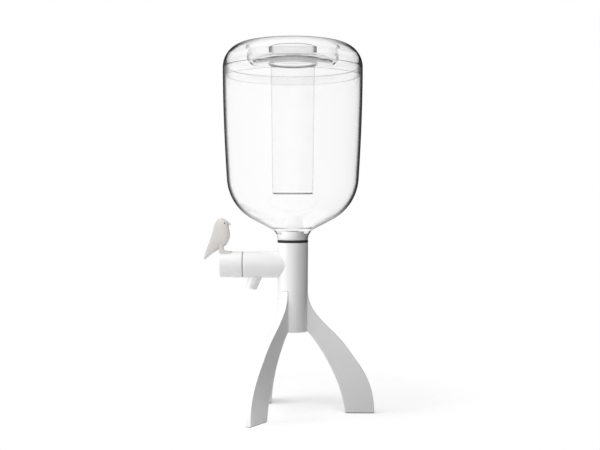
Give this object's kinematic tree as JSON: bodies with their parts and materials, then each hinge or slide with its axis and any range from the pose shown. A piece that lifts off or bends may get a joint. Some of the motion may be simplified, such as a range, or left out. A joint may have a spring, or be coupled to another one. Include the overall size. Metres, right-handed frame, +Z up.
{
  "type": "water dispenser",
  "caption": "Table-top water dispenser: a clear lidded tank with an ice tube on a splay-legged column, with a turning tap whose handle carries a small bird.",
  "frame": {"origin": "the middle of the footprint's bounding box, on the table under the foot pads; the column's axis stands at x = +0.0055, y = 0", "axes": "+Z up along the column; -X along the tap, away from the column; the tap side of the object faces -X"},
  "size_m": [0.2309, 0.1944, 0.4982],
  "materials": {
    "white_plastic": "satin white",
    "clear_plastic": "clear, polished",
    "black_rubber": "matt black",
    "pad_rubber": "dark soft rubber",
    "grey_plastic": "plain grey",
    "bird_plastic": "warm light grey",
    "eye_black": "black",
    "screw_steel": "plain steel"
  },
  "bodies": {
    "stand": {"column": "white_plastic", "column_base_plug": "white_plastic", "base_screw": "screw_steel", "leg_right": "white_plastic", "leg_front": "white_plastic", "leg_back": "white_plastic", "foot_pad_right": "pad_rubber", "foot_pad_front": "pad_rubber", "foot_pad_back": "pad_rubber", "neck_gasket": "black_rubber", "tank": "clear_plastic", "drain_bolt": "grey_plastic", "drain_nut": "grey_plastic", "tap_body": "white_plastic", "tap_nozzle": "white_plastic", "tap_washer": "black_rubber", "tap_lock_nut": "grey_plastic", "tap_seam_ring": "black_rubber"},
    "lid": {"lid": "clear_plastic"},
    "ice_tube": {"ice_tube": "clear_plastic"},
    "ice_tube_cap": {"ice_tube_cap": "clear_plastic"},
    "handle": {"tap_handle": "white_plastic", "handle_end_disc": "white_plastic", "handle_screw": "screw_steel", "valve_core": "grey_plastic", "core_ring_inner": "black_rubber", "core_ring_outer": "black_rubber", "bird_body": "bird_plastic", "bird_foot_front": "bird_plastic", "bird_foot_back": "bird_plastic", "bird_eye_front": "eye_black", "bird_eye_back": "eye_black"}
  },
  "joints": [
    {"name": "lid_lift", "type": "slide", "parent": "stand", "child": "lid", "axis": [0, 0, 1], "range_m": [0, 0.18]},
    {"name": "ice_tube_lift", "type": "slide", "parent": "lid", "child": "ice_tube", "axis": [0, 0, 1], "range_m": [0, 0.21]},
    {"name": "cap_lift", "type": "slide", "parent": "ice_tube", "child": "ice_tube_cap", "axis": [0, 0, 1], "range_m": [0, 0.03]},
    {"name": "tap_turn", "type": "hinge", "parent": "stand", "child": "handle", "pos_m": [0.00547, 0, 0.2009], "axis": [1, 0, 0], "range_deg": [0, 90]}
  ]
}
